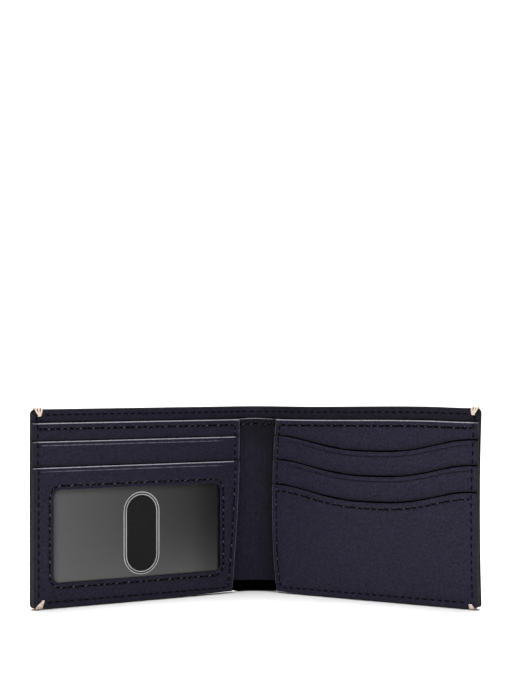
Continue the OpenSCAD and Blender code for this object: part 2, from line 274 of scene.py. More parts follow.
def positions(low, high, near_low, near_high, step):
    """The lattice lines between two edges: offsets near each, fractions between them."""
    n = max(2, int(round((high - low - near_low[-1] - near_high[-1]) / step)))
    mid = [("mid", i / n) for i in range(1, n)]
    return [("low", d) for d in near_low] + mid + [("high", d) for d in reversed(near_high)]


def line_at(spec, low, high, near_low, near_high):
    kind, t = spec
    if kind == "low":
        return low + t
    if kind == "high":
        return high - t
    a, b = low + near_low[-1], high - near_high[-1]
    return a + (b - a) * t


def inset(d, r):
    """How far a face rounded with radius r has fallen at the distance d from its edge."""
    if r <= 0:
        return 0 * d
    x = np.clip(r - d, 0, r)
    return r - np.sqrt(np.maximum(r * r - x * x, 0))


def run_along(p):
    """The distance along a line at each of its points."""
    return np.concatenate([[0], np.cumsum(np.linalg.norm(np.diff(p, axis=0), axis=1))])


def two_faces(f, b):
    """Quads over a grid of front points and, turned over, over one of back points."""
    return [np.stack([f[:-1, :-1], f[1:, :-1], f[1:, 1:], f[:-1, 1:]], -1).reshape(-1, 4),
            np.stack([b[:-1, :-1], b[:-1, 1:], b[1:, 1:], b[1:, :-1]], -1).reshape(-1, 4)]


def wound(quads, side):
    """One list of faces, with their normals outward on either side of the wallet."""
    faces = np.concatenate(quads).tolist()
    return [q[::-1] for q in faces] if side == LEFT else faces


class Outline:
    """A pattern piece between a spine-side and an outer edge, a foot and a top."""

    def __init__(self, s_in, s_out, foot, top, r_foot=2.0, r_top=0.0, cut=None):
        self.s_in = s_in if callable(s_in) else (lambda z: s_in + 0 * z)
        self.foot = foot if callable(foot) else (lambda s: foot + 0 * s)
        self.top = top if callable(top) else (lambda s: top + 0 * s)
        self.s_out, self.r_foot, self.r_top, self.cut = s_out, r_foot, r_top, cut

    def corner(self, s, r):
        return inset(self.s_out - s, r)

    def lattice(self, step, near, near_in):
        mid_in = float(self.s_in(HEIGHT / 2))
        cols = positions(mid_in, self.s_out, near_in, near, step)
        foot, top = float(self.foot(60.0)), float(self.top(20.0))
        parts = [("low", "high", positions(foot, top, near, near, step))]
        if self.cut:
            at = float(self.cut(20.0))
            parts = [("low", "cut", positions(foot, at, near, CUT_BELOW, step)),
                     ("cut", "high", positions(at, top, CUT_ABOVE, near, step)[1:])]
        rows = [(a, b, r) for a, b, part in parts for r in part]
        s, z = np.zeros((2, len(cols), len(rows)))
        for i, c in enumerate(cols):
            s[i] = line_at(c, mid_in, self.s_out, near_in, near)
        for _ in range(4):
            low = self.foot(s[:, 0]) + self.corner(s[:, 0], self.r_foot)
            high = self.top(s[:, -1]) - self.corner(s[:, -1], self.r_top)
            ends = {"low": low, "high": high}
            if self.cut:
                ends["cut"] = self.cut(s[:, 0])
            for j, (a, b, r) in enumerate(rows):
                z[:, j] = line_at(r, ends[a], ends[b], CUT_ABOVE if a == "cut" else near,
                                  CUT_BELOW if b == "cut" else near)
            for i, c in enumerate(cols):
                s[i] = line_at(c, self.s_in(z[i]), self.s_out, near_in, near)
        return s, z

    def distances(self, s, z):
        """Distances to the foot, outer edge, top and spine side, corners rounded."""
        d = np.stack([z - self.foot(s), self.s_out - s, self.top(s) - z, s - self.s_in(z)])
        for r, k, up in ((self.r_foot, 0, 1), (self.r_top, 2, -1)):
            if r > 0:
                rest = r - d[k]
                at = (s > self.s_out - r) & (rest > 0)
                d[k] = np.where(at, r - np.hypot(s - self.s_out + r, rest), d[k])
        return np.maximum(d, 0)


def sheet(name, side, outline, v0, v1, mats, round_edge=0.22, step=0.9, near=NEAR,
          near_in=None, front=None, both=None, back=None, band=0.28, open_in=False,
          round_back=0.0, painted_light=None, dark=None, lip_from=0.0):
    """A flat piece, bent with its cover, with rounded edges and relief. mats are the
    face, then the foot, outer, top and spine-side edges. dark(s, z) tells where the
    face gets the painted-shade material, as in a crevice or a stitch channel. The top
    edge takes its edge material from lip_from outward."""
    near_in = near if near_in is None else near_in
    s, z = outline.lattice(step, near, near_in)
    d4 = outline.distances(s, z)
    d = d4[:3].min(0) if open_in else d4.min(0)
    vf = v1 - inset(d, round_edge) + (front(s, z) if front else 0)
    vb = v0 + inset(d, round_back) + (back(s, z) if back else 0)
    lift = both(s, z) if both else 0
    verts = np.concatenate([place(side, s, vf + lift, z), place(side, s, vb + lift, z)])
    n, m = s.shape
    f = np.arange(n * m).reshape(n, m)
    b = f + n * m
    quads = two_faces(f, b)
    d4[3] += 99 * open_in
    face_d = np.minimum.reduce([d4[:, :-1, :-1], d4[:, 1:, :-1], d4[:, 1:, 1:], d4[:, :-1, 1:]])
    edge = np.where(face_d.min(0) < band, face_d.argmin(0) + 1, 0)
    plain = face_d[3] < lip_from
    edge[plain & (edge == 3)] = 0
    back_edge = edge.ravel() if round_back else 0 * edge.ravel()
    if dark:
        cs, cz = ((a[:-1, :-1] + a[1:, :-1] + a[1:, 1:] + a[:-1, 1:]) / 4 for a in (s, z))
        edge = np.where(dark(cs, cz) & (edge == 0), 5, edge)
    index = [edge.ravel(), back_edge]
    for line, k in ((f[:, 0], 1), (f[-1], 2), (f[::-1, -1], 3), (f[0, ::-1], 4)):
        quads.append(np.stack([line[1:], line[:-1], line[:-1] + n * m, line[1:] + n * m], -1))
        index.append(np.where(plain[::-1, -1], 0, k) if k == 3 else np.full(len(line) - 1, k))
    shade = np.ones((2, n, m))
    if painted_light:
        shade[0] = np.clip(painted_light(s, z), 0.02, 2)
    palette = list(mats) + [mats[-1]] * (5 - len(mats)) + [M_PAINTED_SHADE] * bool(dark)
    return new_object(name, verts, wound(quads, side), palette, np.concatenate(index), shade)


def loop_points(box, radii, na=6, ns=40):
    """A closed loop around a box with rounded corners, the same count for any radii."""
    s0, s1, z0, z1 = box
    spots = [(s0 + radii[0], z0 + radii[0]), (s1 - radii[1], z0 + radii[1]),
             (s1 - radii[2], z1 - radii[2]), (s0 + radii[3], z1 - radii[3])]
    out = []
    for k, (cx, cz) in enumerate(spots):
        a0, r = math.radians(180 + 90 * k), radii[k]
        turn = a0 + np.linspace(0, math.pi / 2, na + 1)
        arc = np.stack([cx + r * np.cos(turn), cz + r * np.sin(turn)], 1)
        nx, nz = spots[(k + 1) % 4]
        rn = radii[(k + 1) % 4]
        start = np.array([nx + rn * math.cos(turn[-1]), nz + rn * math.sin(turn[-1])])
        t = np.linspace(0, 1, ns + 1)[1:-1, None]
        out += [arc, arc[-1] + (start - arc[-1]) * t]
    return np.concatenate(out)


def between(a, b, n):
    """n loops spaced evenly between two loops of the same count."""
    return [a + (b - a) * i / (n + 1) for i in range(1, n + 1)]


def ring_sheet(name, side, rings, v_front, v_back, mats, face_mat=None, wall_mat=(0, 0),
               painted_light=None):
    """A closed slab whose outline is a ring: its loops run from the opening outward."""
    s, z = rings[..., 0], rings[..., 1]
    k, n = s.shape
    verts = np.concatenate([place(side, s, v_front, z), place(side, s, v_back, z)])
    f = np.arange(k * n).reshape(k, n)
    f = np.concatenate([f, f[:, :1]], 1)
    b = f + k * n
    quads = two_faces(f, b) + [np.stack([f[0, :-1], f[0, 1:], b[0, 1:], b[0, :-1]], -1),
                               np.stack([f[-1, 1:], f[-1, :-1], b[-1, :-1], b[-1, 1:]], -1)]
    top = np.zeros((k - 1, n), int) if face_mat is None else face_mat
    index = np.concatenate([top.ravel(), np.zeros((k - 1) * n, int),
                            np.full(n, wall_mat[0]), np.broadcast_to(wall_mat[1], n)])
    shade = np.ones((2, k, n))
    if painted_light is not None:
        shade[:] = painted_light
    return new_object(name, verts, wound(quads, side), mats, index, shade)


def tube(paths, radius, sides=8, squash=1.0):
    """Verts and faces of closed tubes along paths, each an (n, 3) array in metres. They
    are thinner at both ends."""
    verts, faces = [], []
    w = np.arange(sides) * 2 * math.pi / sides
    for p in paths:
        t = np.gradient(p, axis=0)
        t /= np.linalg.norm(t, axis=1)[:, None]
        a = np.cross(t, np.array([0.0, -1.0, 0.0]) + 0.3 * t[::-1])
        a /= np.maximum(np.linalg.norm(a, axis=1), 1e-9)[:, None]
        b = np.cross(a, t)
        n = len(p)
        size = np.full(n, radius * MM)
        size[0] = size[-1] = 0.45 * radius * MM
        ring = (a[:, None] * np.cos(w)[:, None] + b[:, None] * np.sin(w)[:, None] * squash)
        base = sum(len(v) for v in verts)
        verts.append((p[:, None] + ring * size[:, None, None]).reshape(-1, 3))
        q = base + np.arange(n * sides).reshape(n, sides)
        q2 = np.roll(q, -1, axis=1)
        faces += np.stack([q[:-1], q[1:], q2[1:], q2[:-1]], -1).reshape(-1, 4).tolist()
        faces += [q[0].tolist(), q[-1][::-1].tolist()]
    return np.concatenate(verts), faces


# ------------------------------------------------------------- rows of stitches
BODY = {RIGHT: "right_cover", LEFT: "left_cover"}
WORD = {RIGHT: "right", LEFT: "left"}
SPREAD = {  # bar tacks: offsets at the hole and at the edge, and the hole's height
    (LEFT, True): ((-0.45, -0.15, 0.15), (-1.05, 0.3, 1.7), 85.8),
    (LEFT, False): ((-1.1, -0.95, -0.8), (-0.25, 0.85, 1.95), 4.15),
    (RIGHT, True): ((-0.7, -0.3, 0.0), (-1.0, 0.35, 1.45), 85.95),
    (RIGHT, False): ((-0.75, -0.4, 0.0), (-0.55, 0.1, 0.75), 2.5)}


def tack_at(side, top):
    return U_TO_S + {(LEFT, True): 104.3, (LEFT, False): 104.4,
                     (RIGHT, True): 105.1, (RIGHT, False): 105.0}[(side, top)]


def spine_edge(side):
    return left_edge if side == LEFT else right_edge


def stitch_marks(points, slant=0.0, pitch=PITCH):
    """Middle and direction of each stitch of a row drawn as a line in (s, z)."""
    p = np.asarray(points, float)
    at = run_along(p)
    n = max(1, int(at[-1] // pitch))
    d = at[-1] * (np.arange(n) + 0.5) / n
    mid, a, b = ([np.interp(np.clip(d + e, 0, at[-1]), at, p[:, k]) for k in (0, 1)]
                 for e in (0, -0.6, 0.6))
    turn = np.arctan2(b[1] - a[1], b[0] - a[0]) + math.radians(slant)
    return np.stack([mid[0], mid[1], turn], 1)


def level(z, s0, s1):
    return stitch_marks([(s0, z), (s1, z)])


def upright(s, z0, z1):
    return stitch_marks([(s, z0), (s, z1)])


def beside(side, z0, z1):
    line = [(float(spine_edge(side)(z)) + EDGE_ROW, z) for z in np.linspace(z0, z1, 20)]
    return stitch_marks(line, SLANT * side)


def divider_row(s):
    return DIV_ROW + 0.4 * over_spine(s)


def divider_line(side, s0, s1):
    line = [(s, divider_row(s)) for s in np.linspace(s0, s1, 24)]
    return stitch_marks(line, SLANT * side, SLANTED_PITCH[side])


def dipped(k, below=0.0):
    """The edge of the k-th dipped pocket, or the line that far below it."""
    return lambda s: dip(s, SLOTS_R[k]) - below


def cover_rows(side):
    """A cover's rows, as name: list of (marks, depth of the face they lie on)."""
    w, edge = WORD[side], float(spine_edge(side)(DIV_ROW))
    hem = level(HEM_ROW, 0.2, tack_at(side, True) - 2.2)
    end = tack_at(side, False) - 2.6
    if side == LEFT:
        steps = [(FRAME_TOP, V_FACE_L), (SLOT_L, V_IDBACK)]
    else:
        steps = [(SLOTS_R[2], V_FACE_R), (SLOTS_R[1], V_FRONT), (SLOTS_R[0], V_MID)]
    steps.append((DIV_TOP, V_POCKET))
    lows = [5] + [top + 0.4 for top, _ in steps]
    levels = [(low, top, v) for low, (top, v) in zip(lows, steps)]
    foot = level(FOOT_ROW, float(spine_edge(side)(3.0)) + 3.2, end)
    sides = [(upright(SIDE_ROW, *span), v) for *span, v in levels]
    sides.append((upright(SIDE_ROW, DIV_TOP + 0.5, 85.9), V_HEM))
    low, high, v = levels[-1]
    levels[0], levels[-1] = (3.6, *levels[0][1:]), (low, DIV_ROW - 1, v)
    return {
        "hem_" + w: [(hem, V_HEM), (level(FOOT_ROW, 0.2, 10.4), V_HEM)],
        "divider_" + w: [(divider_line(side, 0.2, edge - 0.3), V_PANEL),
                         (divider_line(side, edge + 1.2, SIDE_ROW - 0.8), V_POCKET)],
        "outer_" + w: [(hem, V_SKIN), (level(FOOT_ROW, 0.2, end), V_SKIN),
                       (upright(SIDE_ROW, 5, HEM_ROW - 1.5), V_SKIN)],
        "perimeter_" + w: [(foot, levels[0][2])] + sides,
        "panel_edge_" + w: [(beside(side, *span), v) for *span, v in levels]}


def window_box(grow):
    return (WINDOW_S[0] - grow, WINDOW_S[1] + grow, WINDOW_Z[0] - grow, WINDOW_Z[1] + grow)


def window_rings(offsets):
    """Loops around the opening, growing outward."""
    return [loop_points(window_box(d), (WINDOW_R + d,) * 4) for d in offsets]


def window_row():
    loop = window_rings((WINDOW_ROW,))[0]
    return stitch_marks(np.vstack([loop, loop[:1]]), -SLANT, SLANTED_PITCH[LEFT])


def front_pocket_row():
    start = float(right_edge(50.0)) + EDGE_ROW + 1.2
    line = [(s, float(dipped(2, POCKET_ROW)(s))) for s in np.linspace(start, SIDE_ROW - 1, 60)]
    return stitch_marks(line, SLANT, SLANTED_PITCH[RIGHT])


ROWS = {**cover_rows(RIGHT), **cover_rows(LEFT), "window": [(window_row(), V_FACE_L)],
        "front_pocket": [(front_pocket_row(), V_FACE_R)]}


def slanted(name):
    """Whether a row's stitches lean, like a saddle stitch, or lie in line."""
    return not name.startswith(("hem", "perimeter", "outer"))


def sunk(*names):
    """Relief: every stitch pulls its own dent, and slanted ones pull a whole channel."""
    rows = [(m, *((1.7, 0.4, 0.3) if slanted(name) else (1.05, 0.34, 0.24)))
            for name in names for m, _ in ROWS[name]]

    def relief(s, z):
        out = np.zeros_like(s)
        for marks, reach, width, depth in rows:
            for s0, z0, turn in marks:
                near = (np.abs(s - s0) < 2.4) & (np.abs(z - z0) < 2.4)
                ds, dz = s[near] - s0, z[near] - z0
                along = ds * math.cos(turn) + dz * math.sin(turn)
                off = dz * math.cos(turn) - ds * math.sin(turn)
                dent = depth * np.exp(-(off / width) ** 2) * np.exp(-(along / reach) ** 4)
                out[near] = np.maximum(out[near], dent)
        return -out
    return relief


def channel(side):
    """Where the slanted rows along a panel's edge and under its top lie in a channel of painted
    shade.
    """
    edge = spine_edge(side)

    def dark(s, z):
        beside = (np.abs(s - edge(z) - EDGE_ROW) < CHANNEL) & (z > 3.2) & (z < DIV_ROW)
        under = ((np.abs(z - DIV_ROW) < CHANNEL) & (s > edge(z) + EDGE_ROW)
                 & (s < SIDE_ROW - 0.8))
        return beside | under
    return dark


def groove(dist, depth, width):
    """Relief: a line pressed into the leather, at a distance from its middle."""
    return -depth * np.exp(-(dist / width) ** 2)


def plus(*parts):
    """Relief: the sum of several."""
    return lambda s, z: sum(p(s, z) for p in parts)


def painted_glints(*names):
    """Tone: painted glints: the leather between slanted stitches is painted lighter in small
    spots.
    """
    marks = [m for name in names if slanted(name) for m, _ in ROWS[name]]
    spots = np.concatenate([(m[1:, :2] + m[:-1, :2]) / 2 for m in marks])

    def painted_light(s, z):
        out = np.zeros_like(s)
        for k, (s0, z0) in enumerate(spots):
            near = (np.abs(s - s0) < 1.5) & (np.abs(z - z0 - 0.5) < 1.5)
            far = np.hypot((s[near] - s0) / 0.5, (z[near] - z0 - 0.5) / 0.3)
            out[near] += (0.14 + 0.12 * math.sin(k * 2.7)) * np.exp(-far ** 2)
        return out
    return painted_light


def painted_shading(relief, *more, painted_highlights=()):
    """Tone: painted shade where the leather is pressed in, times the other painted shade given,
    and painted highlights where given.
    """
    def painted_light(s, z):
        dark = np.prod([np.clip(1 + 3.2 * relief(s, z), 0.06, 1)] + [m(s, z) for m in more],
                       axis=0).clip(0, 1)
        light = sum(w(s, z) for w in painted_highlights) if painted_highlights else 0 * s
        return np.where(light > 0.04, 1 + light, dark)
    return painted_light


def painted_crease_highlight(top, below, amount, width=0.2):
    """Tone: a painted highlight along the pressed line under a pocket's edge, in broken lengths.
    """
    def painted_light(s, z):
        broken = 0.6 + 0.4 * np.sin(s * 2.3 + 2 * np.sin(s / 3.7)) * np.sin(s * 0.83 + 1)
        fade = smooth(s, 17, 24) * smooth(SIDE_ROW - s, 1, 3)
        return amount * broken * fade * np.exp(-((z - top(s) + below) / width) ** 2)
    return painted_light


def highlight_fade(top):
    """Tone: the painted highlight of a pocket's top edge is dimmed outside the side seam."""
    return lambda s, z: 1 - 0.7 * (s > SIDE_ROW - 0.3) * (z > top(s) - 0.35)


def tack_shadow(side, top):
    """Tone: painted shadow on the leather round the strands of a bar tack."""
    at_hole, at_edge, hole = SPREAD[side, top]
    at, edge = tack_at(side, top), HEIGHT if top else 0.0

    def painted_light(s, z):
        t = np.clip((z - hole) / (edge - hole), 0, 1)
        low = at + at_hole[0] + (at_edge[0] - at_hole[0]) * t
        high = at + at_hole[2] + (at_edge[2] - at_hole[2]) * t
        beside = np.maximum(np.maximum(low - s, s - high), 0)
        beyond = np.clip((hole - z) if top else (z - hole), 0, 9)
        return 1 - 0.85 * np.exp(-(np.hypot(beside, beyond) / 0.75) ** 2)
    return painted_light


def behind(top, amount, reach):
    """Tone: painted shade on a layer just above the edge of the pocket in front of it."""
    def painted_light(s, z):
        h = z - top(s)
        return 1 - amount * np.where(h < 0, 1.0, np.exp(-np.abs(h) / reach))
    return painted_light


# ----------------------------------------------------------- exterior leather
def mitre(s, z):
    """The diagonal fold of the hem at the two outer corners."""
    out = 0 * s
    for edge, sign in ((HEIGHT, 1), (0.0, -1)):
        deep = np.minimum(S_END - s, sign * (edge - z))
        diagonal = ((S_END - s) - sign * (edge - z)) / 1.41
        out += groove(diagonal, 0.28, 0.3) * (deep > 0.8) * (deep < 8)
    return out


def hem_step(s, z):
    """The step down from the turned hem to the flat of the hide."""
    deep = np.minimum(np.minimum(z, HEIGHT - z), S_END - s)
    return (V_INSIDE - V_HEM) * smooth(deep, 7.9, 8.2)


def spine_bulge(s, z):
    """The hide bows outward behind the divider."""
    return -1.5 * over_spine(s)


def foot_line(side, lowest):
    """The resting edge: it rises a little near the spine and is notched for the tack."""
    at, reach = tack_at(side, False), 38 if side == LEFT else 22
    start = 3 if lowest else 8
    return lambda s: (lowest + (NOTCH - lowest) * smooth(2.4 - np.abs(s - at - 0.5), 0, 0.8)
                      + 0.7 * np.exp(-(s / reach) ** 2) * smooth(s, start, 13))


def across(ob):
    """Leave a half that spans the fold unattached, with its transform baked into its mesh."""
    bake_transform(ob)


def finish(ob, side, nodes, half=False):
    """Put a piece on its cover, or a half across the fold, for the CAD nodes it stands for."""
    across(ob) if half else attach(ob, BODY[side])
    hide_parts(*nodes)
    return ob


def pair(stem, side):
    """The CAD nodes that a half stands for: the right one includes the spine's."""
    return [f"{stem}_{WORD[side]}"] + ([stem + "_spine"] if side == RIGHT else [])


def divider_top(drop=0.0):
    """The divider's top edge rises a little over the spine."""
    return lambda s: DIV_TOP - drop + 0.5 * over_spine(s)


def divider_foot(side):
    """Over the spine the divider stops short of the foot, so the two can move apart."""
    at, line = float(spine_edge(side)(5.0)), foot_line(side, FOOT)
    return lambda s: line(s) + (DIV_FOOT - line(s)) * smooth(at + 3.2 - s, 0, 2.4)


def hide_painted_shade(s, z):
    """The hide gets painted shade under the divider at the spine and just above its top edge."""
    above = z - divider_top()(s)
    return ((s < 13.5) & (z < 6.5)) | ((above > -0.3) & (above < 0.45) & (s < S_END - 1.5))


def make_exterior(side):
    """The hide, the lining of the bill compartment and the board between them."""
    w = WORD[side]
    seam, outer_seam = sunk("hem_" + w, "perimeter_" + w), sunk("outer_" + w)
    out = Outline(0.0, S_END, foot_line(side, 0.0), HEIGHT, r_foot=2.4, r_top=2.4)
    ob = sheet("exterior_leather_" + w, side, out, V_SKIN, V_HEM, [M_OUTER, M_EDGE],
               round_edge=0.7, round_back=1.0, near=NEAR + (5.4, 5.75, 6.2, 6.6, 7.9, 8.2),
               near_in=(0, 1, 2, 3, 4, 5), band=0.55, both=spine_bulge, open_in=True,
               front=plus(seam, mitre, hem_step), back=lambda s, z: -outer_seam(s, z),
               # Painted shade: in the seams' dents and mitres, just above the divider's edge,
               # round the top tacks, and over the whole right hide, painted at 0.72 of the left's.
               painted_light=painted_shading(plus(seam, mitre), behind(divider_top(), 0.9, 0.6),
                         tack_shadow(side, True), lambda s, z: 0.86 - 0.14 * side + 0 * s),
               dark=hide_painted_shade)
    finish(ob, side, pair("exterior", side), True)

    out = Outline(0.0, S_END - 1.3, 1.3, HEIGHT - 1.3, r_foot=0.5, r_top=0.5)
    ob = sheet("bill_lining_" + w, side, out, V_BOARD + 0.02, V_LINING, [M_CLOTH], 0.05,
               2.5, FEW, open_in=True, both=spine_bulge)
    finish(ob, side, pair("exterior_lining", side), True)

    out = Outline(S_ARC - 4, S_END - 1.3, 1.3, HEIGHT - 1.3, r_foot=0.5, r_top=0.5)
    ob = sheet("board_" + w, side, out, V_INSIDE + 0.04, V_BOARD - 0.02, [M_BOARD], 0.05,
               4, FEW, both=spine_bulge)
    finish(ob, side, ["stiffener_" + w])


# ------------------------------------------------------------ the bill divider
def spine_wander(z):
    """The upright creases over the spine wander a little with the height."""
    return 1.4 * np.sin(z / 7)


def spine_relief(side):
    """Relief: fine upright creases over the spine, and a dip beside each panel's edge."""
    edge, deep = spine_edge(side), 0.55 if side == RIGHT else 0.2

    def relief(s, z):
        a = np.sin(s * 3.1 + spine_wander(z)) + 0.6 * np.sin(s * 5.3 + z / 11 + 1)
        fine = 0.04 * a * smooth(11 - s, 0, 4) * smooth(z, 4, 14) * smooth(DIV_ROW - z, 0, 4)
        return fine - deep * smooth(s, 1, edge(z)) * smooth(
            DIV_TOP - z, 2, 9) * smooth(edge(z) + 4 - s, 0, 3)
    return relief


def spine_painted_shade(side):
    """Tone: painted shade on the divider toward its top over the spine and beside each panel's
    edge, with lighter and darker upright streaks along its creases.
    """
    edge = spine_edge(side)
    deep, reach = (0.97, 6.0) if side == RIGHT else (0.45, 1.5)

    def painted_light(s, z):
        top = 1 - 0.55 * smooth(z, 64, 78) * smooth(14 - s, 0, 3)
        streaks = 1 + 0.2 * np.sin(s * 3.1 + spine_wander(z)) * np.sin(s * 7.3 + z / 5)
        beside = np.clip(edge(z) - s, 0, 99)
        return top * streaks * (1 - deep * np.exp(-beside / reach)) * (
            1 - 0.8 * np.exp(-beside / 0.5))
    return painted_light


def make_divider(side):
    """The divider's leather with its cloth backing."""
    w, edge, creases = WORD[side], spine_edge(side), spine_relief(side)
    seam = sunk("divider_" + w)

    # Painted shade: the channel along the divider's row over the spine.
    def dark(s, z):
        return (np.abs(z - divider_row(s)) < CHANNEL) & (s < edge(z))

    out = Outline(0.0, S_OUT, divider_foot(side), divider_top())
    ob = sheet("bill_divider_" + w, side, out, V_DIV, V_PANEL,
               [M_SPINE_SHADED, M_PAINTED_SHADE, M_EDGE, M_EDGE_HIGHLIGHT], open_in=True,
               near_in=tuple(np.arange(0, 9, 0.5)), front=plus(seam, creases), back=creases,
               painted_light=painted_shading(seam, spine_painted_shade(side), painted_highlights=[painted_glints("divider_" + w)]), dark=dark)
    finish(ob, side, pair("divider", side), True)

    foot = divider_foot(side)
    out = Outline(0.0, S_OUT - 0.3, lambda s: foot(s) + 0.3, divider_top(0.5))
    ob = sheet("divider_backing_" + w, side, out, V_HEM + 0.06, V_DIV - 0.01, [M_CLOTH],
               0.04, 2.5, FEW, open_in=True, both=creases)
    finish(ob, side, pair("divider_lining", side), True)


for side in (RIGHT, LEFT):
    make_exterior(side)
    make_divider(side)


# --------------------------------------------------------------- pocket pieces
def mouth(top, amount, reach=6.0):
    """A pocket's mouth stands off the layer behind it between its seams."""
    def lift(s, z):
        a = np.clip((s - 15) / (SIDE_ROW - 17), 0, 1)
        return amount * np.sin(math.pi * a) ** 0.6 * np.exp(-np.clip(top(s) - z, 0, 99) / reach)
    return lift


def crease(top, below=1.95, depth=0.2, width=0.24):
    """The line pressed along the edge of a pocket."""
    return lambda s, z: (groove(z - (top(s) - below), depth, width) * smooth(s, 17, 20)
                         * smooth(SIDE_ROW + 0.5 - s, 0, 2))


def pocket(name, node, side, top, v0, v1, mats, line=None, lift=0.0, next_top=None,
           crevice=0.3, rows=(), painted_highlights=(), **more):
    """next_top is the edge of the pocket in front, above which a band of painted shade stands for
    the crevice.
    """
    edge = spine_edge(side)
    rows = ("perimeter_" + WORD[side], "panel_edge_" + WORD[side], *rows)
    relief = plus(sunk(*rows), line) if line else sunk(*rows)
    sewn = channel(side)

    # Painted shade: the stitch channels, the front pocket's row and the crevice band above the
    # pocket in front.
    def dark(s, z):
        at = sewn(s, z)
        if "front_pocket" in rows:
            at |= ((np.abs(z - top(s) + POCKET_ROW) < CHANNEL) & (s > edge(z) + 3.2)
                   & (s < SIDE_ROW - 0.8))
        if next_top:
            at |= ((z > next_top(s) - 3) & (z < next_top(s) + crevice)
                   & (s > edge(z) + EDGE_ROW) & (s < S_OUT - 0.4))
        return at
    # Painted shade above the pocket in front, or painted shadow round the bar tack, and the top
    # edge's highlight dimmed outside the side seam.
    tones = [behind(next_top, 0.95, 1.8 * crevice)] if next_top else [tack_shadow(side, False)]
    tones.append(highlight_fade(top if callable(top) else lambda s: top))
    out = Outline(edge, S_OUT, foot_line(side, FOOT), top, cut=next_top)
    ob = sheet(name, side, out, v0, v1, mats, front=relief,
               both=mouth(out.top, lift) if lift else None,
               painted_light=painted_shading(relief, *tones, painted_highlights=[painted_glints(*rows), *painted_highlights]), dark=dark, **more)
    return finish(ob, side, [node])


def flat_slot(s):
    """The straight edge of the left card pocket."""
    return SLOT_L + 0 * s


def frame_top(s):
    """The straight top edge of the window frame."""
    return FRAME_TOP + 0 * s


pocket("base_panel_l", "panel_left", LEFT, DIV_TOP - 0.1, V_PANEL + 0.01, V_POCKET,
       [M_INNER, M_EDGE, M_EDGE, M_EDGE_HIGHLIGHT, M_EDGE_LIT], next_top=flat_slot, crevice=0.5,
       rows=("divider_left",))
pocket("slip_pocket_l", "card_pocket_left", LEFT, SLOT_L, V_POCKET + 0.01, V_IDBACK,
       [M_INNER, M_EDGE, M_EDGE, M_EDGE_HIGHLIGHT, M_EDGE_LIT], crease(flat_slot), 0.15, frame_top, 0.5,
       painted_highlights=[painted_crease_highlight(flat_slot, 1.8, 1.0)], lip_from=2.3)
pocket("base_panel_r", "panel_right", RIGHT, DIV_TOP - 0.1, V_PANEL + 0.01, V_POCKET,
       [M_RIGHT_LIT, M_EDGE, M_EDGE, M_EDGE_HIGHLIGHT, M_EDGE_LIT], next_top=dipped(0), crevice=0.7,
       rows=("divider_right",))
depths = (V_POCKET, V_MID, V_FRONT, V_FACE_R)
for k, name in enumerate(("upper", "middle", "front")):
    front = name == "front"
    pocket("slip_pocket_" + name, "card_pocket_" + name, RIGHT, dipped(k), depths[k] + 0.01,
           depths[k + 1], [M_RIGHT_LIT, M_EDGE, M_EDGE, M_RIGHT_LIT, M_EDGE_LIT],
           None if front else crease(dipped(k), depth=0.28), MOUTH_R,
           None if front else dipped(k + 1), 0.7, ("front_pocket",) if front else (),
           round_edge=0.4)

# -------------------------------------------------------------- identity window
def make_back_cloth():
    out = Outline(left_edge, S_OUT, foot_line(LEFT, FOOT), FRAME_TOP - 0.8)
    ob = sheet("id_back_cloth", LEFT, out, V_IDBACK + 0.01, V_RING - 0.02, [M_CLOTH], 0.04,
               2.5, FEW)
    finish(ob, LEFT, ["id_pocket_back"])


def outer_rings(offsets, top):
    """Loops inset from the frame's outline, whose spine side leans."""
    loops = []
    for d in offsets:
        s0 = float(left_edge(HEIGHT / 2)) + d
        p = loop_points((s0, S_OUT - d, FOOT + d, top - d), (0.3, max(0.4, 2.0 - d), 0.3, 0.3))
        lean = left_edge(p[:, 1]) - left_edge(HEIGHT / 2)
        p[:, 0] += lean * np.clip(1 - (p[:, 0] - s0) / 6, 0, 1)
        rise = foot_line(LEFT, FOOT)(p[:, 0]) - FOOT
        p[:, 1] += rise * np.clip(1 - (p[:, 1] - FOOT) / 3, 0, 1)
        loops.append(p)
    return loops


IN_RING = (0, .08, .2, .36, .6, .9, 1.15, 1.4, 1.6, 1.75, 1.9, 2.05, 2.25, 2.6, 3)
BRIDGE, FAR = 3, 9.0  # loops between the two sets of offsets, and far from both edges


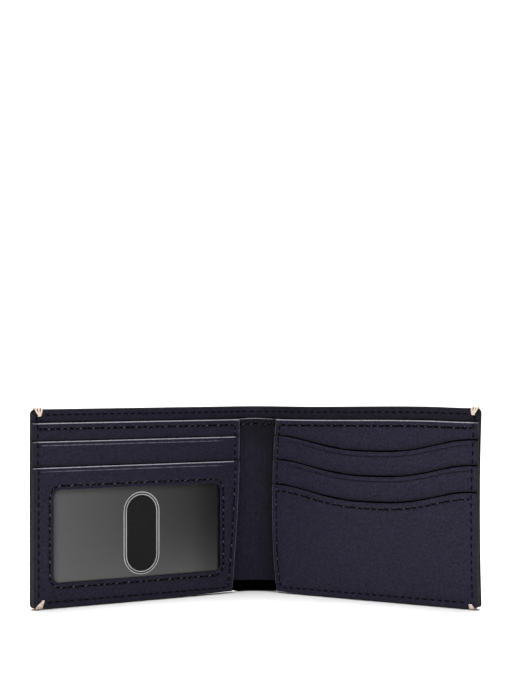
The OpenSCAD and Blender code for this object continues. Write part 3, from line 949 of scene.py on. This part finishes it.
def make_frame():
    """The leather round the window, with a painted highlight on its top edge and painted shade on
    the walls of the opening and in its slanted stitch channels.
    """
    inner, outer = window_rings(IN_RING), outer_rings(NEAR[::-1], FRAME_TOP)
    rings = np.stack(inner + between(inner[-1], outer[0], BRIDGE) + outer)
    s, z = rings[..., 0], rings[..., 1]
    d_in = np.array(list(IN_RING) + [FAR] * (BRIDGE + len(NEAR)))[:, None]
    d_out = np.array([FAR] * (len(IN_RING) + BRIDGE) + list(NEAR[::-1]))[:, None]
    relief = plus(sunk("perimeter_left", "panel_edge_left", "window"), crease(frame_top))
    face_v = V_FACE_L - inset(d_in, 0.3) - inset(d_out, 0.22) + relief(s, z)

    # Edge walls: the top takes the painted-highlight edge except near the spine, the spine side
    # the lighter painted-highlight edge, the foot and outer side the plain edge colour.
    foot_side, out_side = z[-1] < FOOT + 2.2, s[-1] > S_OUT - 0.3
    wall = np.where(z[-1] > FRAME_TOP - 0.3, 2, np.where(out_side | foot_side, 1, 3))
    wall[(wall == 2) & (s[-1] < left_edge(z[-1]) + 4)] = 0
    face_mat = np.zeros((len(rings) - 1, s.shape[1]), int)
    face_mat[-3:] = wall
    # Painted shade in the slanted stitch channels; the opening's walls take it too.
    sewn = channel(LEFT)((s[:-1] + s[1:]) / 2, (z[:-1] + z[1:]) / 2)
    sewn[np.searchsorted(IN_RING, WINDOW_ROW - 0.3):np.searchsorted(IN_RING, 2.1)] = True
    face_mat[sewn] = 4
    shade = np.ones((2, *s.shape))
    shade[0] = painted_shading(relief, tack_shadow(LEFT, False), highlight_fade(frame_top),
                    painted_highlights=[painted_glints("panel_edge_left", "window"),
                          painted_crease_highlight(frame_top, 1.8, 0.9)])(s, z)
    ob = ring_sheet("id_frame_leather", LEFT, rings, face_v, V_FRAME + 0.01 + 0 * s,
                    [M_INNER, M_EDGE, M_EDGE_HIGHLIGHT, M_EDGE_LIT, M_PAINTED_SHADE], face_mat, (4, wall), shade)
    finish(ob, LEFT, ["id_window_frame"])


def make_ring_cloth():
    """The cloth ring that holds the film behind the frame."""
    inner, outer = window_rings((3.0,))[0], outer_rings((0.4,), FRAME_TOP)[0]
    rings = np.stack([inner] + between(inner, outer, 3) + [outer])
    flat = 0 * rings[..., 0]
    ob = ring_sheet("id_ring_cloth", LEFT, rings, V_FILM - 0.02 + flat, V_RING + 0.01 + flat,
                    [M_CLOTH])
    finish(ob, LEFT, ["id_window_lining"])


def oval(grow, n=184):
    """The thumb slot's outline grown by a distance, as n points evenly along it."""
    half = (HOLE[0] / 2 + grow, HOLE[1] / 2 + grow)
    box = (HOLE_C[0] - half[0], HOLE_C[0] + half[0], HOLE_C[1] - half[1], HOLE_C[1] + half[1])
    p = loop_points(box, (half[0] - 0.01,) * 4)
    p = np.vstack([p, p[:1]])
    at = run_along(p)
    want = np.linspace(0, at[-1], n + 1)[:-1]
    return np.stack([np.interp(want, at, p[:, k]) for k in (0, 1)], 1)


def across_window(s, z):
    """How far across the opening, from its outer end and from its foot, 0 to 1."""
    return (np.clip((WINDOW_S[1] - s) / (WINDOW_S[1] - WINDOW_S[0]), 0, 1),
            np.clip((z - WINDOW_Z[0]) / (WINDOW_Z[1] - WINDOW_Z[0]), 0, 1))


def film_painted_light(s, z):
    """Tone: painted light on the film, brighter toward its outer end and its foot, with
    painted shade along the frame's edges."""
    a, b = across_window(s, z)
    by_spine, by_end = s - WINDOW_S[0], WINDOW_S[1] - s
    by_foot, by_top = z - WINDOW_Z[0], WINDOW_Z[1] - z
    return ((0.078 * (1 - a) ** 1.1 + 0.08 * (1 - b) ** 3 * (0.3 + 0.7 * a) + 0.02)
            * (0.02 + 0.58 * smooth(by_spine, 0.6, 1.8) + 0.4 * smooth(by_spine, 2, 18))
            * (0.7 + 0.3 * smooth(by_end, 0, 3)) * (0.1 + 0.9 * smooth(by_foot, 0.1, 0.9))
            * (0.7 + 0.3 * smooth(by_top, 0, 3)))


def film_slack(s, z):
    """Relief: the film bows a little inside the frame."""
    a, b = across_window(s, z)
    return 0.07 * np.sin(2.4 * a + 0.5) * 16 * a * (1 - a) * b * (1 - b)


def make_film():
    """The clear film, cut out for the thumb slot."""
    outer, hole = loop_points(window_box(2.9), (3.0,) * 4), oval(0.0, 400)
    bearing = [np.arctan2(p[:, 1] - HOLE_C[1], p[:, 0] - HOLE_C[0]) for p in (outer, hole)]
    order = np.argsort(bearing[1])
    inner = np.stack([np.interp(bearing[0], bearing[1][order], hole[order, k],
                                period=2 * math.pi) for k in (0, 1)], 1)
    edges = window_rings((-3.0, -2.2, -1.6, -1.1, -0.7, -0.4, -0.1, 0.4))
    rings = np.stack([inner] + between(inner, edges[0], 15) + edges + [outer])
    s, z = rings[..., 0], rings[..., 1]
    face_v = V_FILM - 0.02 + film_slack(s, z)
    ob = ring_sheet("id_clear_film", LEFT, rings, face_v, face_v - 0.1, [M_FILM],
                    painted_light=film_painted_light(s, z))
    finish(ob, LEFT, ["id_window_film"])


# The weld round the thumb slot: two beads, as distance outward and height
BEAD_AT = (-.1, .08, .2, .34, .5, .64, .85, 1.06, 1.18, 1.34, 1.5, 1.64, 1.8)
BEAD_UP = (.03, .14, .2, .2, .14, .06, .03, .06, .14, .2, .2, .14, .02)


def make_weld():
    rings = np.stack([oval(d) for d in BEAD_AT])
    flat = 0 * rings[..., 0]
    face_mat = np.zeros((len(BEAD_AT) - 1, rings.shape[1]), int)
    # the bead crests take the painted-highlight material
    face_mat[[1, 2, 3, 8, 9, 10]] = 1
    ob = ring_sheet("id_thumb_weld", LEFT, rings,
                    V_FILM + 0.02 + np.array(BEAD_UP)[:, None] + flat,
                    V_FILM - 0.02 + flat, [M_RIM, M_BEAD_HIGHLIGHT], face_mat)
    finish(ob, LEFT, ["id_thumb_rim"])


make_back_cloth()
make_frame()
make_ring_cloth()
make_film()
make_weld()


# --------------------------------------------------------------------- threads
def seam_thread(name, side, nodes, half=False, face=1):
    """Each stitch rises out of one hole and sinks into the next. face is -1 on the back."""
    length, radius = (1.8, 0.18) if slanted(name) else (2.25, 0.3)
    # Painted glints: slanted threads are painted lighter toward each stitch's middle, through the
    # tone.
    shine = (0.42 if side == LEFT else 0.28) * slanted(name)
    t = np.linspace(-1, 1, 7)
    paths, gleam = [], []
    for marks, v in ROWS[name]:
        for k, (s, z, turn) in enumerate(marks):
            along = s + t * length / 2 * math.cos(turn)
            arch = v + face * (0.14 * (1 - t ** 4) - 0.24)
            if name.startswith(("hem", "outer")):
                arch = arch + spine_bulge(along, z)
            elif name == "front_pocket":
                arch = arch + mouth(dipped(2), MOUTH_R)(along, z)
            paths.append(place(side, along, arch, z + t * length / 2 * math.sin(turn)))
            glint = shine * (1 + 0.8 * math.sin(k * 2.7))
            gleam.append(np.repeat(1 + glint * (1 - t * t) ** 2, 8))
    verts, faces = tube(paths, radius, 8, 0.85)
    ob = new_object("seam_" + name, verts, faces, [M_THREAD], None, np.concatenate(gleam), 60)
    finish(ob, side, nodes, half)


for side in (RIGHT, LEFT):
    w = WORD[side]
    for stem, face in (("hem", 1), ("divider", 1), ("outer", -1)):
        seam_thread(f"{stem}_{w}", side, pair("thread_" + stem, side), True, face)
    for stem in ("perimeter", "panel_edge"):
        seam_thread(f"{stem}_{w}", side, [f"thread_{stem}_{w}"])
seam_thread("window", LEFT, ["thread_window"])
seam_thread("front_pocket", RIGHT, ["thread_front_pocket"])


# ------------------------------------------------------------------ bar tacks
def curve_through(knots, per=7):
    """A smooth line through the knots (Catmull-Rom)."""
    c = np.array(knots)
    c = np.vstack([2 * c[0] - c[1], c, 2 * c[-1] - c[-2]])
    t = np.linspace(0, 1, per)[:-1, None]
    line = []
    for i in range(1, len(c) - 2):
        p0, p1, p2, p3 = c[i - 1:i + 3]
        line.append(0.5 * (2 * p1 + (p2 - p0) * t + (2 * p0 - 5 * p1 + 4 * p2 - p3) * t * t
                           + (3 * p1 - p0 - 3 * p2 + p3) * t ** 3))
    return np.vstack(line + [c[-2:-1]])


def bar_tack(side, top, v_face, node):
    """Two-ply strands of pale thread fan from a hole and wrap over the edge to the back."""
    at_hole, at_edge, hole = SPREAD[side, top]
    at = tack_at(side, top)
    edge, up = (HEIGHT, 1) if top else (NOTCH, -1)
    paths = []
    for k, (a, b) in enumerate(zip(at_hole, at_edge)):
        a, b = at + a, at + b
        m = 0.45 * a + 0.55 * b
        mid = (hole + edge) / 2
        proud = 0.30 + 0.10 * (k == 1)
        knots = [(a, v_face - 0.5, hole), (a, v_face + proud - 0.1, hole + up * 0.4),
                 (m, v_face + proud, mid), (b, v_face + proud - 0.08, edge - up * 0.3),
                 (b, v_face - 0.4, edge + up * 0.42), (b, (v_face + V_SKIN) / 2, edge + up * 0.46),
                 (b, V_SKIN + 0.4, edge + up * 0.42), (b, V_SKIN - 0.22, edge - up * 0.3),
                 (m, V_SKIN - 0.3, mid), (a, V_SKIN - 0.2, hole + up * 0.4),
                 (a, V_SKIN + 0.5, hole)]
        line = curve_through(knots)
        turn = run_along(line) / 1.9 * 2 * math.pi + 1.3 * k
        for ply in (0, math.pi):
            wound = line.copy()
            wound[:, 0] += 0.2 * np.cos(turn + ply)
            wound[:, 1] += 0.12 * np.sin(turn + ply)
            if not top:
                wound[:, 2] = np.maximum(wound[:, 2], 0.36)
            paths.append(place(side, *wound.T))
    verts, faces = tube(paths, 0.29, 10)
    ob = new_object(node.replace("corner", "bar"), verts, faces, [M_TACK], sharp=60)
    finish(ob, side, [node])


for side, v_face in ((LEFT, V_FACE_L), (RIGHT, V_FACE_R)):
    bar_tack(side, True, V_HEM, "corner_tack_top_" + WORD[side])
    bar_tack(side, False, v_face, "corner_tack_bottom_" + WORD[side])


# ------------------------------------------------------- floor, lights, camera
sweep = [(-3.0, 0.0), (1.6, 0.0)] + [(1.6 + 0.8 * math.sin(a), 0.8 - 0.8 * math.cos(a))
                                     for a in np.linspace(0.1, math.pi / 2, 12)] + [(2.4, 4.0)]
verts = [(x, y, z - 0.00005) for y, z in sweep for x in (-4.0, 4.0)]
faces = [[2 * i, 2 * i + 1, 2 * i + 3, 2 * i + 2] for i in range(len(sweep) - 1)]
paper = material("studio_paper", (0.88, 0.88, 0.88), 0.9, 0.1, 0.01, 40.0)
new_object("studio_floor", verts, faces, [paper])


def softbox(name, at, aim, size, power):
    """A rectangular area light that faces the point aim."""
    light = bpy.data.lights.new(name, "AREA")
    light.shape = "RECTANGLE"
    light.size, light.size_y = size
    light.energy = power
    ob = bpy.data.objects.new(name, light)
    bpy.context.scene.collection.objects.link(ob)
    ob.location = at
    d = np.array(aim, float) - np.array(at, float)
    ob.rotation_euler = (math.atan2(math.hypot(d[0], d[1]), -d[2]), 0,
                         math.atan2(d[1], d[0]) - math.pi / 2)


softbox("overhead", (0.0, 0.22, 0.85), (0, 0.22, 0), (1.3, 0.6), 18)
softbox("key_left", (-0.4, -1.5, 0.6), (0, 0, 0.05), (0.9, 0.9), 3.4)
softbox("backdrop_wash", (0.0, 0.9, 2.4), (0, 2.4, 1.0), (3.0, 1.0), 110)

world = bpy.data.worlds.new("studio")
world.use_nodes = True
world.node_tree.nodes["Background"].inputs["Color"].default_value = (1, 1, 1, 1)
world.node_tree.nodes["Background"].inputs["Strength"].default_value = 0.12
bpy.context.scene.world = world
bpy.context.scene.view_settings.view_transform = "Standard"

camera_data = bpy.data.cameras.new("camera")
camera_data.sensor_width = 36.0
camera_data.sensor_fit = "AUTO"
camera_data.lens = 73.9
camera_data.shift_y = 0.041
camera = bpy.data.objects.new("camera", camera_data)
bpy.context.scene.collection.objects.link(camera)
camera.location = (-0.00129, -0.6735, 0.10737)
camera.rotation_euler = (math.radians(90), 0, -0.0015)
bpy.context.scene.camera = camera
